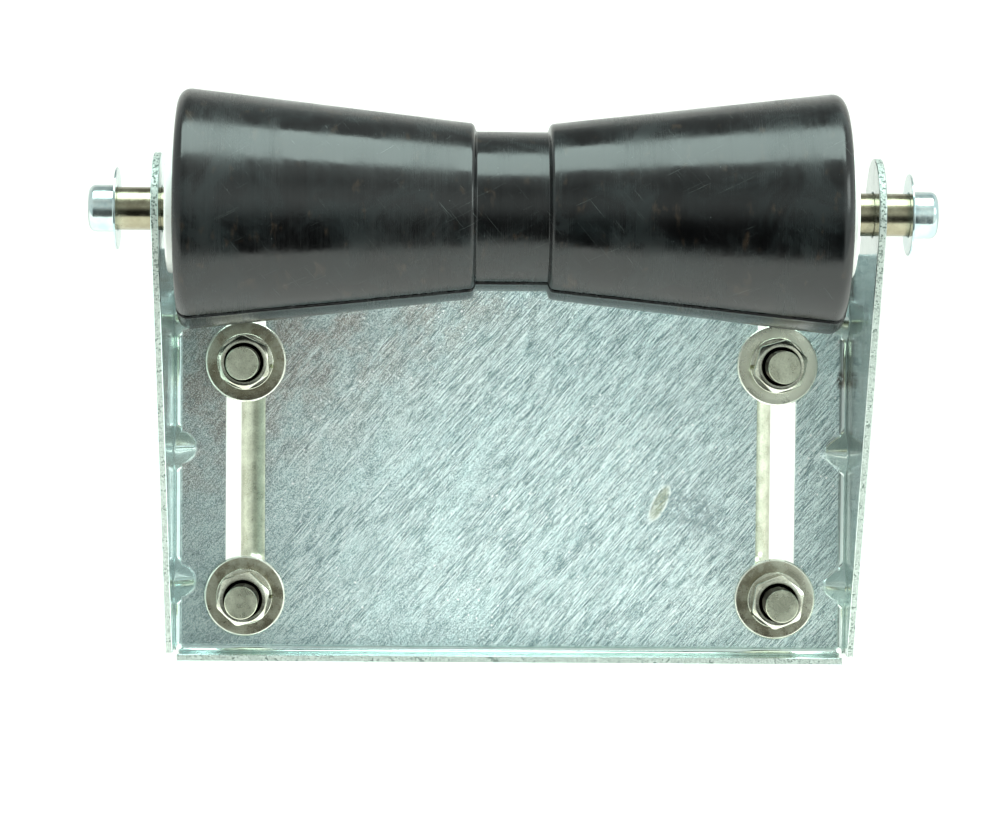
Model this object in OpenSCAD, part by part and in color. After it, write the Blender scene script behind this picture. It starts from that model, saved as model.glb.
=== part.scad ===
// Keel roller bracket for a boat trailer: a pressed sheet bracket that
// carries a waisted rubber roller in front of a square cross beam, and is
// clamped to the beam by two square U-bolts.
// Origin: middle of the bracket's back face, halfway between the U-bolt legs.
// +X runs along the roller, +Y back towards the beam, +Z up. Millimetres.

/* [Bracket sheet] */
// Thickness of the pressed sheet
sheet_t = 2.8; // [2:0.1:3.4]
// Clear width between the two ears
ear_gap = 263.5; // [263:0.5:275]
// Inside radius of the bends
bend_r = 2.6; // [1.5:0.1:4]
// Height of the plate's top edge above the origin
plate_top = 90; // [80:0.5:94]
// Depth of the lip's underside below the origin
lip_bottom = 71; // [70:0.5:76]
// Reach of the lip forward of the plate
lip_reach = 10; // [7:0.5:16]
// Depth of the ears' lower edges below the origin
ear_bottom = 67.5; // [64:0.5:69]
// Lean of the ears' front edges away from upright, in degrees
ear_lean = 25.4; // [22:0.1:27]
// Distance forward of the plate's back face where the ears' top edges rise
shoulder = 36; // [8:1:40]
// Radius of the round lugs at the ears' tops
lug_r = 20.8; // [16:0.5:24]
// Radius of the relief holes where the side and lip bends meet
relief_r = 1.6; // [1.4:0.1:3]

/* [Slots] */
// Width of the two height slots
slot_w = 15.4; // [14:0.1:17]
// Distance between the slots' centre lines
slot_spacing = 208.5; // [200:0.5:214]
// Height of the slots' upper ends above the origin
slot_top = 70.4; // [64:0.2:74]
// Depth of the slots' lower ends below the origin
slot_bottom = 56.6; // [55:0.2:60]

/* [Stiffening darts] */
// Number of pressed darts up each side bend
dart_rows = 3; // [1:1:3]
// Height of the lowest dart's ridge above the origin
dart_low = -40.2; // [-45:0.1:-35]
// Distance from one dart's ridge to the next
dart_pitch = 52.35; // [45:0.05:56]
// Length of a dart's leg along the plate, and along the ear
dart_leg = 10; // [7:0.1:12]
// Half the height of a dart where it meets the bend
dart_half = 8.2; // [6:0.1:11]

/* [Shaft] */
// Diameter of the roller shaft
shaft_d = 15.875; // [12:0.005:16.5]
// Length of the shaft
shaft_len = 312.8; // [305:0.1:330]
// Height of the shaft's axis above the origin
shaft_rise = 104.4; // [100:0.2:112]
// Distance of the shaft's axis forward of the plate's back face
shaft_reach = 72.65; // [66:0.05:80]
// Diameter of the shaft holes in the ears
shaft_hole_d = 17; // [17:0.1:18]
// Resting offset of the shaft along +X from the bracket's middle
shaft_shift = -1.5; // [-4:0.1:4]
// Outer diameter of a push-on cap's cup
cap_d = 17.45; // [17.4:0.05:19]
// Sheet thickness of a push-on cap
cap_t = 0.7; // [0.5:0.05:0.75]
// Height of a cap, flange included
cap_h = 10.7; // [8:0.1:13]
// Diameter of a cap's flange
cap_flange_d = 30.4; // [24:0.1:34]

/* [Roller] */
// Width over the two thrust washers
roller_w = 254; // [240:0.5:258]
// Thickness of a thrust washer
thrust_t = 4.1; // [3:0.1:6]
// Diameter of a thrust washer
thrust_d = 47.6; // [40:0.1:60]
// Largest diameter of the roller, at its rims
rim_d = 88.9; // [80:0.1:96]
// Diameter at the narrow end of each cone
cone_d = 65; // [56:0.1:70]
// Diameter of the parallel waist
waist_d = 59; // [48:0.1:64]
// Length of the parallel waist
waist_w = 26.5; // [16:0.5:40]
// Rounding of the roller's rims
rim_r = 4.5; // [2:0.1:6]
// Radial running clearance around the shaft
shaft_fit = 0.09; // [0.05:0.01:0.1]
// Resting offset of the roller along +X from the bracket's middle
roller_shift = -2.5; // [-4:0.1:4]

/* [U-bolts and fasteners] */
// Height and depth of the square beam
beam = 76.2; // [76.2:0.1:78]
// Diameter of the U-bolt rod
rod_d = 12.7; // [10:0.1:12.9]
// Distance between the two legs of a U-bolt, centre to centre
leg_spacing = 92.1; // [91:0.1:93]
// Inside radius of the U-bolt's square bends
rod_bend_r = 6; // [4:0.5:10]
// Reach of the leg tips forward of the plate's front face
tip_reach = 29.5; // [20:0.5:36]
// Outer diameter of a flat washer
flat_d = 31.75; // [28:0.05:31.9]
// Thickness of a flat washer
flat_t = 1.7; // [1:0.1:2.5]
// Outer diameter of a split lock washer
lock_d = 22; // [20:0.1:23]
// Thickness of a split lock washer
lock_t = 3.2; // [2:0.1:4]
// Width across the flats of a nut
nut_af = 19.05; // [18:0.05:20]
// Height of a nut
nut_h = 11.1; // [8:0.1:12]

/* [Hidden] */
$fn = 96;
left = -1;
right = 1;
top = 1;
bottom = -1;
cut = 1;                                    // overrun of a cutting body
ear_x = ear_gap / 2;                        // inner face of an ear
front_y = -sheet_t;                         // front face of the plate
bend_out = bend_r + sheet_t;                // outside radius of a bend
lip_floor = -lip_bottom + sheet_t;          // upper face of the lip
lip_half = ear_x - relief_r;                // half length of the lip
lug_y = -shaft_reach;
lug_z = shaft_rise;
leg_x = slot_spacing / 2;
leg_z = leg_spacing / 2;
tip_y = front_y - tip_reach;
rod_turn = rod_bend_r + rod_d / 2;          // centre line radius of a bend
crown_y = beam + rod_d / 2;
thread_fit = 0.05;                          // radial gap between rod and nut
washer_bore = 13.6;
lock_bore = 12.9;
lock_split = 1.6;
nut_chamfer = 30;                           // slope of a nut's corners, in degrees
nut_face = 0.95;                            // a nut's round face, as a share of its flats
bore_d = shaft_d + 2 * shaft_fit;

// Angle of the tangent from point p to the circle of radius r about c,
// on the side given by s (1 turns the line anticlockwise, -1 clockwise)
function tangent_angle(p, c, r, s) =
    atan2(c[1] - p[1], c[0] - p[0]) + s * asin(r / norm(c - p));

// Point on the circle about c where a tangent at angle a touches it
function touch(c, r, a, s) = [c[0] - s * r * sin(a), c[1] + s * r * cos(a)];

// Turns a solid built along +Z to lie along +X
module along_x() {
    rotate([0, 90, 0]) children();
}

// Turns a solid built along +Z to point forward, along -Y
module forward() {
    rotate([90, 0, 0]) children();
}

// Quarter ring of sheet for a bend, standing along +Z: it fills the
// quadrant -X, +Y of its own centre line
module quarter_bend(length) {
    difference() {
        cylinder(r = bend_out, h = length);
        translate([0, 0, -cut]) cylinder(r = bend_r, h = length + 2 * cut);
        translate([0, -2 * bend_out, -cut])
            cube([2 * bend_out, 4 * bend_out, length + 2 * cut]);
        translate([-2 * bend_out, -2 * bend_out, -cut])
            cube([4 * bend_out, 2 * bend_out, length + 2 * cut]);
    }
}

// Flat outline of an ear: x is the distance forward of the plate's back
// face, y is the height above the origin
module ear_outline() {
    c = [-lug_y, lug_z];
    rise = [shoulder, plate_top];
    back_a = tangent_angle(rise, c, lug_r, 1);
    back = touch(c, lug_r, back_a, 1);
    front = c + lug_r * [cos(ear_lean), -sin(ear_lean)];
    drop = front[1] + ear_bottom;
    toe = [front[0] - drop * tan(ear_lean), -ear_bottom];
    polygon([[bend_out, -ear_bottom], toe, front, c, back, rise, [bend_out, plate_top]]);
    translate(c) circle(r = lug_r);
}

module ear() {
    translate([-ear_x, 0, 0])
        rotate([90, 0, -90])
            linear_extrude(sheet_t) ear_outline();
}

// Pyramid in the corner of a side bend: its ridge runs from the plate to
// the ear. shift moves it out through the sheet to make the hollow behind.
module dart_wedge(z, shift) {
    x = -ear_x - shift;
    y = front_y + shift;
    polyhedron(
        points = [[x, y, z - dart_half], [x, y, z + dart_half],
            [x + dart_leg, y, z], [x, y - dart_leg, z]],
        faces = [[0, 1, 2], [0, 3, 1], [0, 2, 3], [1, 3, 2]]);
}

module left_side() {
    ear();
    translate([-ear_x + bend_r, front_y - bend_r, -ear_bottom])
        quarter_bend(ear_bottom + plate_top);
    for (i = [0 : dart_rows - 1])
        dart_wedge(dart_low + i * dart_pitch, 0);
}

module left_dart_hollows() {
    for (i = [0 : dart_rows - 1])
        dart_wedge(dart_low + i * dart_pitch, sheet_t + 0.01);
}

module slot() {
    height = slot_top + slot_bottom - slot_w;
    translate([0, cut, slot_w / 2 - slot_bottom]) forward() {
        cylinder(d = slot_w, h = sheet_t + 2 * cut);
        translate([0, height, 0]) cylinder(d = slot_w, h = sheet_t + 2 * cut);
        translate([-slot_w / 2, 0, 0]) cube([slot_w, height, sheet_t + 2 * cut]);
    }
}

module lip() {
    translate([-lip_half, -lip_reach - sheet_t, -lip_bottom])
        cube([2 * lip_half, lip_reach - bend_r, sheet_t]);
    translate([lip_half, front_y - bend_r, lip_floor + bend_r])
        rotate([0, -90, 0]) quarter_bend(2 * lip_half);
}

module bracket() {
    flat_half = ear_x - bend_r;
    flat_low = lip_floor + bend_r;
    color("silver") difference() {
        union() {
            translate([-flat_half, front_y, flat_low])
                cube([2 * flat_half, sheet_t, plate_top - flat_low]);
            left_side();
            mirror([1, 0, 0]) left_side();
            lip();
        }
        left_dart_hollows();
        mirror([1, 0, 0]) left_dart_hollows();
        for (side = [left, right]) {
            translate([side * leg_x, 0, 0]) slot();
            translate([side * (lip_half + 0.7), cut, lip_floor + 1.2])
                forward() cylinder(r = relief_r, h = bend_out + 2 * cut);
        }
        translate([-ear_x - sheet_t - cut, lug_y, lug_z])
            along_x() cylinder(d = shaft_hole_d, h = ear_gap + 2 * (sheet_t + cut));
    }
}

module shaft() {
    color("darkgray") translate([shaft_shift - shaft_len / 2, lug_y, lug_z])
        along_x() cylinder(d = shaft_d, h = shaft_len);
}

// A cup that grips the shaft's end, with a thin flange at its mouth
module push_cap(side) {
    color("gainsboro")
        translate([shaft_shift + side * (shaft_len / 2 + cap_t), lug_y, lug_z])
            rotate([0, -side * 90, 0]) difference() {
                union() {
                    cylinder(d = cap_d, h = cap_h);
                    translate([0, 0, cap_h - cap_t])
                        cylinder(d = cap_flange_d, h = cap_t);
                }
                translate([0, 0, cap_t]) cylinder(d = shaft_d, h = cap_h);
            }
}

// Half of the roller's section: x is the radius, y the distance along it
module roller_half_section() {
    end = roller_w / 2 - thrust_t;
    c = [end - rim_r, rim_d / 2 - rim_r];
    neck = [waist_w / 2 + 1.5, cone_d / 2];
    a = tangent_angle(neck, c, rim_r, 1);
    shoulder = touch(c, rim_r, a, 1);
    polygon([[bore_d / 2, 0], [waist_d / 2, 0], [waist_d / 2, waist_w / 2],
        [neck[1], neck[0]], [shoulder[1], shoulder[0]], [c[1], c[0]],
        [c[1], end], [bore_d / 2, end]]);
    translate([c[1], c[0]]) circle(r = rim_r);
}

module roller() {
    color("dimgray") translate([roller_shift, lug_y, lug_z])
        along_x() rotate_extrude() {
            roller_half_section();
            mirror([0, 1]) roller_half_section();
        }
}

module thrust_washer(side) {
    inner = roller_w / 2 - thrust_t;
    color("white") translate([roller_shift + side * inner, lug_y, lug_z])
        rotate([0, side * 90, 0]) difference() {
            cylinder(d = thrust_d, h = thrust_t);
            translate([0, 0, -cut]) cylinder(d = bore_d, h = thrust_t + 2 * cut);
        }
}

module rod_corner() {
    rotate_extrude(angle = 90) translate([rod_turn, 0]) circle(d = rod_d);
}

module u_bolt(side) {
    leg = crown_y - rod_turn - tip_y;
    color("lightgray") translate([side * leg_x, 0, 0]) {
        for (end = [top, bottom])
            translate([0, crown_y - rod_turn, end * leg_z])
                forward() cylinder(d = rod_d, h = leg);
        translate([0, crown_y, rod_turn - leg_z])
            cylinder(d = rod_d, h = leg_spacing - 2 * rod_turn);
        translate([0, crown_y - rod_turn, leg_z - rod_turn])
            rotate([0, -90, 0]) rod_corner();
        translate([0, crown_y - rod_turn, rod_turn - leg_z])
            rotate([0, -90, 0]) rotate([0, 0, 90]) rod_corner();
    }
}

// Places a part around a leg: its base lies `lift` forward of the plate
module on_leg(side, end, lift) {
    translate([side * leg_x, front_y - lift, end * leg_z]) forward() children();
}

module flat_washer(side, end) {
    color("silver") on_leg(side, end, 0) difference() {
        cylinder(d = flat_d, h = flat_t);
        translate([0, 0, -cut]) cylinder(d = washer_bore, h = flat_t + 2 * cut);
    }
}

module lock_washer(side, end, split_angle) {
    color("silver") on_leg(side, end, flat_t) difference() {
        cylinder(d = lock_d, h = lock_t);
        translate([0, 0, -cut]) cylinder(d = lock_bore, h = lock_t + 2 * cut);
        rotate([0, 0, split_angle]) translate([0, -lock_split / 2, -cut])
            cube([lock_d, lock_split, lock_t + 2 * cut]);
    }
}

// Hexagon nut with both faces chamfered at the corners
module nut(side, end, turn) {
    corner_r = nut_af / 2 / cos(30);
    face_r = nut_face * nut_af / 2;
    drop = (corner_r - face_r) * tan(nut_chamfer);
    color("silver") on_leg(side, end, flat_t + lock_t)
        rotate([0, 0, turn]) difference() {
            intersection() {
                cylinder(r = corner_r, h = nut_h, $fn = 6);
                rotate([0, 0, 12]) rotate_extrude()
                    polygon([[0, 0], [face_r, 0], [corner_r, drop],
                        [corner_r, nut_h - drop], [face_r, nut_h], [0, nut_h]]);
            }
            translate([0, 0, -cut])
                cylinder(d = rod_d + 2 * thread_fit, h = nut_h + 2 * cut);
        }
}

bracket();
shaft();
push_cap(left);  // push_cap_left
push_cap(right);  // push_cap_right
roller();
thrust_washer(left);  // thrust_washer_left
thrust_washer(right);  // thrust_washer_right
u_bolt(left);  // u_bolt_left
u_bolt(right);  // u_bolt_right
flat_washer(left, top);  // flat_washer_top_left
flat_washer(right, top);  // flat_washer_top_right
flat_washer(left, bottom);  // flat_washer_bottom_left
flat_washer(right, bottom);  // flat_washer_bottom_right
lock_washer(left, top, 0);  // lock_washer_top_left
lock_washer(right, top, 192);  // lock_washer_top_right
lock_washer(left, bottom, 10);  // lock_washer_bottom_left
lock_washer(right, bottom, 219);  // lock_washer_bottom_right
nut(left, top, 35);  // nut_top_left
nut(right, top, 16);  // nut_top_right
nut(left, bottom, 17);  // nut_bottom_left
nut(right, bottom, 22);  // nut_bottom_right
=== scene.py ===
import math

import bpy
import numpy as np
from mathutils import Matrix, Vector, noise
from mathutils.geometry import delaunay_2d_cdt


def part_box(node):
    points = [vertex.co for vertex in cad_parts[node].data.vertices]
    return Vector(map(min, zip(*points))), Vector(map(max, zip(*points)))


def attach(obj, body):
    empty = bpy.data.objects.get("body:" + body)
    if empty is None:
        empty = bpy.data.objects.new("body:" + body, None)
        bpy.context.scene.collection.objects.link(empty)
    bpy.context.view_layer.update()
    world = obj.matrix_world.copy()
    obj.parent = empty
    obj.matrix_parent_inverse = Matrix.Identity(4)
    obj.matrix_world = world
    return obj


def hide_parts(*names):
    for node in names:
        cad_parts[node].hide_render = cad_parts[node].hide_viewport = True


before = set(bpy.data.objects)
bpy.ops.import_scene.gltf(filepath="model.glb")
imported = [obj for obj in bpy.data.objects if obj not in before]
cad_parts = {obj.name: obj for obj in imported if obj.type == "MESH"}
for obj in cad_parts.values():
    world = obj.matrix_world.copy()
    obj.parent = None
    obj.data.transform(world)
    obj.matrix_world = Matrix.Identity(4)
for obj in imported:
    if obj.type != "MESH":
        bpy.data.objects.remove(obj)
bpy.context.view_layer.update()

# Keel roller bracket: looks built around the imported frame.
# All working sizes are in millimetres in the part's frame: +X along the
# roller, +Y back towards the beam, +Z up. MM turns them into metres.
MM = 0.001
TAU = 2 * math.pi
SIDES = {"left": -1, "right": 1}
CORNERS = [(row, side) for row in ("top", "bottom") for side in SIDES]


def mm_box(node):
    """Low and high corners of a CAD node's box, in millimetres."""
    low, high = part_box(node)
    return np.array(low) / MM, np.array(high) / MM


# ---------------------------------------------------------------- sizes
BRACKET_LOW, BRACKET_HIGH = mm_box("bracket")
SHAFT_LOW, SHAFT_HIGH = mm_box("shaft")
ROLLER_LOW, ROLLER_HIGH = mm_box("roller")

AXIS_Y = (SHAFT_LOW[1] + SHAFT_HIGH[1]) / 2
AXIS_Z = (SHAFT_LOW[2] + SHAFT_HIGH[2]) / 2
SHAFT_R = (SHAFT_HIGH[2] - SHAFT_LOW[2]) / 2

SHEET_T = 2.8                     # bracket sheet
BEND_R = 2.6                      # inside radius of its bends
EAR_X = BRACKET_HIGH[0] - SHEET_T  # inner face of an ear
ARC_LEN = (BEND_R + SHEET_T / 2) * math.pi / 2   # bend length along the sheet's middle
FLAT_HALF = EAR_X - BEND_R                       # where the side bends start
FLAT_LOW = BRACKET_LOW[2] + SHEET_T + BEND_R     # where the lip bend starts
EAR_S = FLAT_HALF + ARC_LEN                      # where the flat ears start
PLATE_TOP = 90.0
SHOULDER = 36.0                   # where the ears' top edges rise, forward of the plate's back
EAR_BOTTOM = -67.5
EAR_LEAN = math.radians(25.4)
LIP_REACH = 10.0
LIP_S = FLAT_HALF + 1.0           # half length of the lip
LUG_R = BRACKET_HIGH[2] - AXIS_Z
SHAFT_HOLE_R = 8.5
RELIEF_R = 1.6
SLOT_W = 15.4
SLOT_TOP = 70.4
SLOT_BOTTOM = -56.6
DART_Z = [-40.2, 12.15, 64.5]     # heights of the darts' ridges
DART_LEG = 10.2                   # softened darts: a little larger than the flat sided CAD ones
DART_HALF = 8.9

ROD_R = 6.35                      # U-bolt rod
BOLT_LOW, BOLT_HIGH = mm_box("u_bolt_right")
LEG_X = (BOLT_LOW[0] + BOLT_HIGH[0]) / 2
LEG_Z = BOLT_HIGH[2] - ROD_R
TIP_Y = BOLT_LOW[1]
CROWN_R = 12.35                   # centre line radius of a U-bolt's corners
THREAD_PITCH = 1.954
THREAD_DEPTH = 1.15
THREAD_LEN = 58.0
ROD_CHAMFER = 0.36                # length of the chamfer on a rod's tip
FLAT_BORE_R = 6.8                 # flat washers
LOCK_R = 11.0                     # split lock washers
LOCK_BORE_R = 6.45
NUT_FLATS = 19.05                 # nuts, across the flats

RIM_R = 4.5                       # rounding of the roller's rims
CONE_END_R = 32.5                 # radius of a cone's narrow end
WAIST_R = 29.5
WAIST_HALF = 13.25
SEAM_ANGLE = math.radians(63.5)   # mould seam, below the forward horizontal
BORE_FIT = 0.09                   # clearance of the roller's bore round the shaft
CAP_WALL = 0.7                    # sheet of the push-on caps

GOUGE = (58.6, -SHEET_T, -8.5)    # painted marks: a gouge in the plate,
SMEAR = (72, -SHEET_T, -12)       # a smear beside it,
NICK = (EAR_X - 2.4, -SHEET_T - 2, 40.5)   # and a rubbed spot on the right bend


# ---------------------------------------------------------------- meshes
def add_mesh(name, verts, faces, body, nodes, materials, sharp=35.0, face_slots=None):
    """A mesh in millimetres becomes a piece that rides on a body and stands for CAD nodes."""
    mesh = bpy.data.meshes.new(name)
    mesh.from_pydata((np.asarray(verts) * MM).tolist(), [], faces)
    for material in materials:
        mesh.materials.append(material)
    if face_slots is not None:
        mesh.polygons.foreach_set("material_index", face_slots)
    mesh.polygons.foreach_set("use_smooth", [True] * len(mesh.polygons))
    mesh.set_sharp_from_angle(angle=math.radians(sharp))
    mesh.update()
    piece = bpy.data.objects.new(name, mesh)
    bpy.context.scene.collection.objects.link(piece)
    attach(piece, body)
    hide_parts(*nodes)


def grid_faces(rows, cols, wrap_rows=False, wrap_cols=False, first=0):
    """Quads of a grid of points numbered row by row from first."""
    i = np.arange(rows if wrap_rows else rows - 1)[:, None]
    j = np.arange(cols if wrap_cols else cols - 1)[None, :]
    i2, j2 = (i + 1) % rows, (j + 1) % cols
    quads = np.stack([i * cols + j, i * cols + j2, i2 * cols + j2, i2 * cols + j], -1)
    return (quads.reshape(-1, 4) + first).tolist()


def fillet(corners, closed=True, arc_steps=5, longest=None):
    """Rounds a polyline. Each corner is (a, b, radius); long straight runs may be subdivided."""
    points = [np.array(c[:2], float) for c in corners]
    radii = [c[2] for c in corners]
    count = len(points)
    out = []
    for i, (p, r) in enumerate(zip(points, radii)):
        if r <= 0 or (not closed and i in (0, count - 1)):
            out.append(p)
            continue
        a, b = points[i - 1] - p, points[(i + 1) % count] - p
        la, lb = np.linalg.norm(a), np.linalg.norm(b)
        a, b = a / la, b / lb
        half = math.acos(max(-1, min(1, float(a @ b)))) / 2
        cut = min(r / math.tan(half), 0.49 * la, 0.49 * lb)
        r = cut * math.tan(half)
        centre = p + (a + b) / np.linalg.norm(a + b) * (r / math.sin(half))
        u, v = p + a * cut - centre, p + b * cut - centre
        turn = math.acos(max(-1, min(1, float(u @ v) / (r * r))))
        for k in range(arc_steps + 1):
            t = k / arc_steps * turn
            w = (u * math.sin(turn - t) + v * math.sin(t)) / math.sin(turn)
            out.append(centre + w)
    if longest:
        out = subdivide(np.array(out), longest, closed)
    return np.array(out)


def subdivide(points, longest, closed=True):
    """Splits a polyline's runs so that none is longer than longest."""
    out = []
    last = len(points) if closed else len(points) - 1
    for i in range(last):
        p, q = points[i], points[(i + 1) % len(points)]
        parts = max(1, math.ceil(np.linalg.norm(q - p) / longest))
        out += [p + (q - p) * k / parts for k in range(parts)]
    if not closed:
        out.append(points[-1])
    return np.array(out)


def lathe(profile, centre, axis, count=96, closed=True):
    """Turns a profile of (along, radius) points about an axis through centre.
    An open profile is closed by a flat face at each end."""
    theta = np.arange(count) * TAU / count
    along, radius = profile[:, 0], profile[:, 1]
    u, v = np.cos(theta), np.sin(theta)
    ones = np.ones(count)
    if axis == "x":
        parts = (along[:, None] * ones, radius[:, None] * u, radius[:, None] * v)
    else:
        parts = (radius[:, None] * u, along[:, None] * ones, radius[:, None] * v)
    verts = np.stack(parts, -1).reshape(-1, 3) + centre
    faces = grid_faces(len(profile), count, wrap_rows=closed, wrap_cols=True)
    if not closed:
        top = (len(profile) - 1) * count
        faces.append(list(range(count))[::-1])
        faces.append(list(range(top, top + count)))
    return verts, faces


# ---------------------------------------------------------------- materials
class Nodes:
    """Shorthand for a node material round one Principled shader. Sizes are in millimetres."""

    def __init__(self, name, **shader):
        self.material = bpy.data.materials.new(name)
        self.material.use_nodes = True
        self.tree = self.material.node_tree
        self.shader = self.tree.nodes["Principled BSDF"]
        for socket, value in shader.items():
            self.shader.inputs[socket.replace("_", " ")].default_value = value
        self.position = self.node("ShaderNodeTexCoord").outputs["Object"]

    def node(self, kind, **settings):
        made = self.tree.nodes.new(kind)
        for key, value in settings.items():
            setattr(made, key, value)
        return made

    def plug(self, value, socket):
        if isinstance(value, bpy.types.NodeSocket):
            self.tree.links.new(value, socket)
        else:
            socket.default_value = value

    def space(self, size, turn=(0, 0, 0), centre=(0, 0, 0)):
        """Coordinates in which a box of this size, turned by these degrees, is one unit."""
        made = self.node("ShaderNodeMapping", vector_type="TEXTURE")
        self.plug(self.position, made.inputs["Vector"])
        made.inputs["Location"].default_value = [c * MM for c in centre]
        made.inputs["Rotation"].default_value = [math.radians(a) for a in turn]
        made.inputs["Scale"].default_value = [c * MM for c in size]
        return made.outputs["Vector"]

    def noise(self, size, detail=3.0, rough=0.55, turn=(0, 0, 0), wavy=0.0):
        made = self.node("ShaderNodeTexNoise")
        size = size if isinstance(size, tuple) else (size, size, size)
        self.plug(self.space(size, turn), made.inputs["Vector"])
        made.inputs["Scale"].default_value = 1.0
        made.inputs["Detail"].default_value = detail
        made.inputs["Roughness"].default_value = rough
        made.inputs["Distortion"].default_value = wavy
        return made.outputs["Fac"]

    def cells(self, size, out="Distance"):
        made = self.node("ShaderNodeTexVoronoi")
        self.plug(self.space((size, size, size)), made.inputs["Vector"])
        made.inputs["Scale"].default_value = 1.0
        return made.outputs[out]

    def spot(self, centre, size, turn=(0, 0, 0), soft=0.3):
        """1 inside an ellipsoid, fading to 0 outside it."""
        length = self.node("ShaderNodeVectorMath", operation="LENGTH")
        self.plug(self.space(size, turn, centre), length.inputs[0])
        return self.remap(length.outputs["Value"], 1 - soft, 1 + soft, 1.0, 0.0)

    def remap(self, value, low, high, to_low=0.0, to_high=1.0):
        """Smooth step between two levels, which stays level outside low and high."""
        made = self.node("ShaderNodeMapRange", interpolation_type="SMOOTHSTEP")
        self.plug(value, made.inputs["Value"])
        made.inputs["From Min"].default_value = low
        made.inputs["From Max"].default_value = high
        made.inputs["To Min"].default_value = to_low
        made.inputs["To Max"].default_value = to_high
        return made.outputs["Result"]

    def math(self, operation, a, b):
        made = self.node("ShaderNodeMath", operation=operation)
        self.plug(a, made.inputs[0])
        self.plug(b, made.inputs[1])
        return made.outputs[0]

    def times(self, a, b):
        return self.math("MULTIPLY", a, b)

    def mix(self, factor, a, b):
        made = self.node("ShaderNodeMix", data_type="RGBA")
        self.plug(factor, made.inputs["Factor"])
        self.plug(a if isinstance(a, bpy.types.NodeSocket) else (*a, 1), made.inputs["A"])
        self.plug(b if isinstance(b, bpy.types.NodeSocket) else (*b, 1), made.inputs["B"])
        return made.outputs["Result"]

    def axis(self, name):
        made = self.node("ShaderNodeSeparateXYZ")
        self.plug(self.space((1, 1, 1)), made.inputs[0])
        return made.outputs[name]

    def bump(self, *layers):
        """Each layer is (height socket, depth in millimetres)."""
        normal = None
        for height, depth in layers:
            made = self.node("ShaderNodeBump")
            made.inputs["Distance"].default_value = depth * MM
            self.plug(height, made.inputs["Height"])
            if normal:
                self.plug(normal, made.inputs["Normal"])
            normal = made.outputs["Normal"]
        self.plug(normal, self.shader.inputs["Normal"])

    def finish(self, color=None, roughness=None, metallic=None):
        for name, value in (("Base Color", color), ("Roughness", roughness),
                            ("Metallic", metallic)):
            if value is not None:
                self.plug(value, self.shader.inputs[name])
        return self.material


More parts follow.
